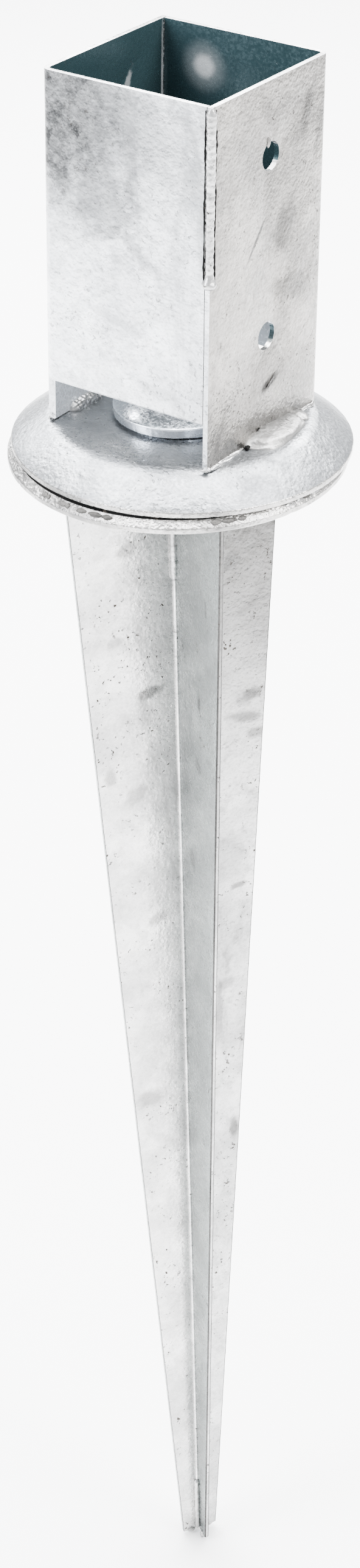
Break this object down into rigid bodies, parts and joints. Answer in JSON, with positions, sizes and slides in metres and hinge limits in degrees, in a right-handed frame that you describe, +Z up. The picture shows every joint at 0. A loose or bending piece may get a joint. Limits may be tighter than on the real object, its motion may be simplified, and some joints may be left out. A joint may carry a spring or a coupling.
{
  "type": "post anchor spike",
  "caption": "Drive-in ground spike with four tapering fins, a clamped ball-type plate joint and a square open-topped socket for a timber post, with screw holes in two opposite walls.",
  "frame": {"origin": "on the socket's vertical axis at the foot of its walls, where they meet the upper plate", "axes": "+Z up along the socket, towards the post; the long walls with the screw holes face +X and -X, the short walls +Y and -Y"},
  "size_m": [0.1314, 0.134, 0.7499],
  "materials": {
    "galvanised_sheet": "hot-dip galvanised, semi-gloss, orange peel",
    "galvanised_plate": "hot-dip galvanised, semi-gloss, rough at the rim",
    "clamp_washer": "hot-dip galvanised, duller",
    "zinc_plated_fastener": "zinc plated, satin",
    "weld_zinc": "weld bead under zinc, rough"
  },
  "bodies": {
    "spike": {"lower_dish": "galvanised_plate", "spike_angle_front": "galvanised_sheet", "spike_angle_back": "galvanised_sheet", "pivot_nut": "zinc_plated_fastener", "weld_nut_a": "weld_zinc", "weld_nut_b": "weld_zinc", "weld_fin_front": "weld_zinc", "weld_fin_right": "weld_zinc", "weld_fin_back": "weld_zinc", "weld_fin_left": "weld_zinc", "weld_neck_front": "weld_zinc", "weld_neck_back": "weld_zinc", "weld_tip_front": "weld_zinc", "weld_tip_back": "weld_zinc"},
    "clamp": {"clamp_disc": "clamp_washer"},
    "seat": {"seat_washer": "clamp_washer"},
    "head": {"socket_angle_left": "galvanised_sheet", "socket_angle_right": "galvanised_sheet", "weld_corner_front": "weld_zinc", "weld_corner_back": "weld_zinc", "weld_foot_right_outer": "weld_zinc", "weld_foot_right_inner": "weld_zinc", "weld_foot_left_outer": "weld_zinc", "weld_foot_left_inner": "weld_zinc", "upper_dish": "galvanised_plate"},
    "lock": {"lock_washer": "zinc_plated_fastener"},
    "bolt": {"pivot_bolt": "zinc_plated_fastener"}
  },
  "joints": [
    {"name": "seat_turn", "type": "hinge", "parent": "spike", "child": "clamp", "pos_m": [0, 0, -0.096], "axis": [0, -0.0319, 0.9995], "continuous": true},
    {"name": "head_tilt", "type": "hinge", "parent": "clamp", "child": "seat", "pos_m": [0, 0, -0.096], "axis": [1, 0, 0], "range_deg": [-1.95, 5.6]},
    {"name": "head_swivel", "type": "hinge", "parent": "seat", "child": "head", "pos_m": [0, 0, -0.096], "axis": [0, 0, 1], "continuous": true},
    {"name": "bolt_lift", "type": "slide", "parent": "spike", "child": "lock", "axis": [0, -0.0319, 0.9995], "range_m": [0, 0.01225]},
    {"name": "bolt_turn", "type": "hinge", "parent": "lock", "child": "bolt", "pos_m": [0, 0, -0.096], "axis": [0, -0.0319, 0.9995], "range_deg": [0, 2520]}
  ],
  "couplings": [
    {"joint": "bolt_turn", "follows": "bolt_lift", "rad_per_m": 3590.4}
  ]
}
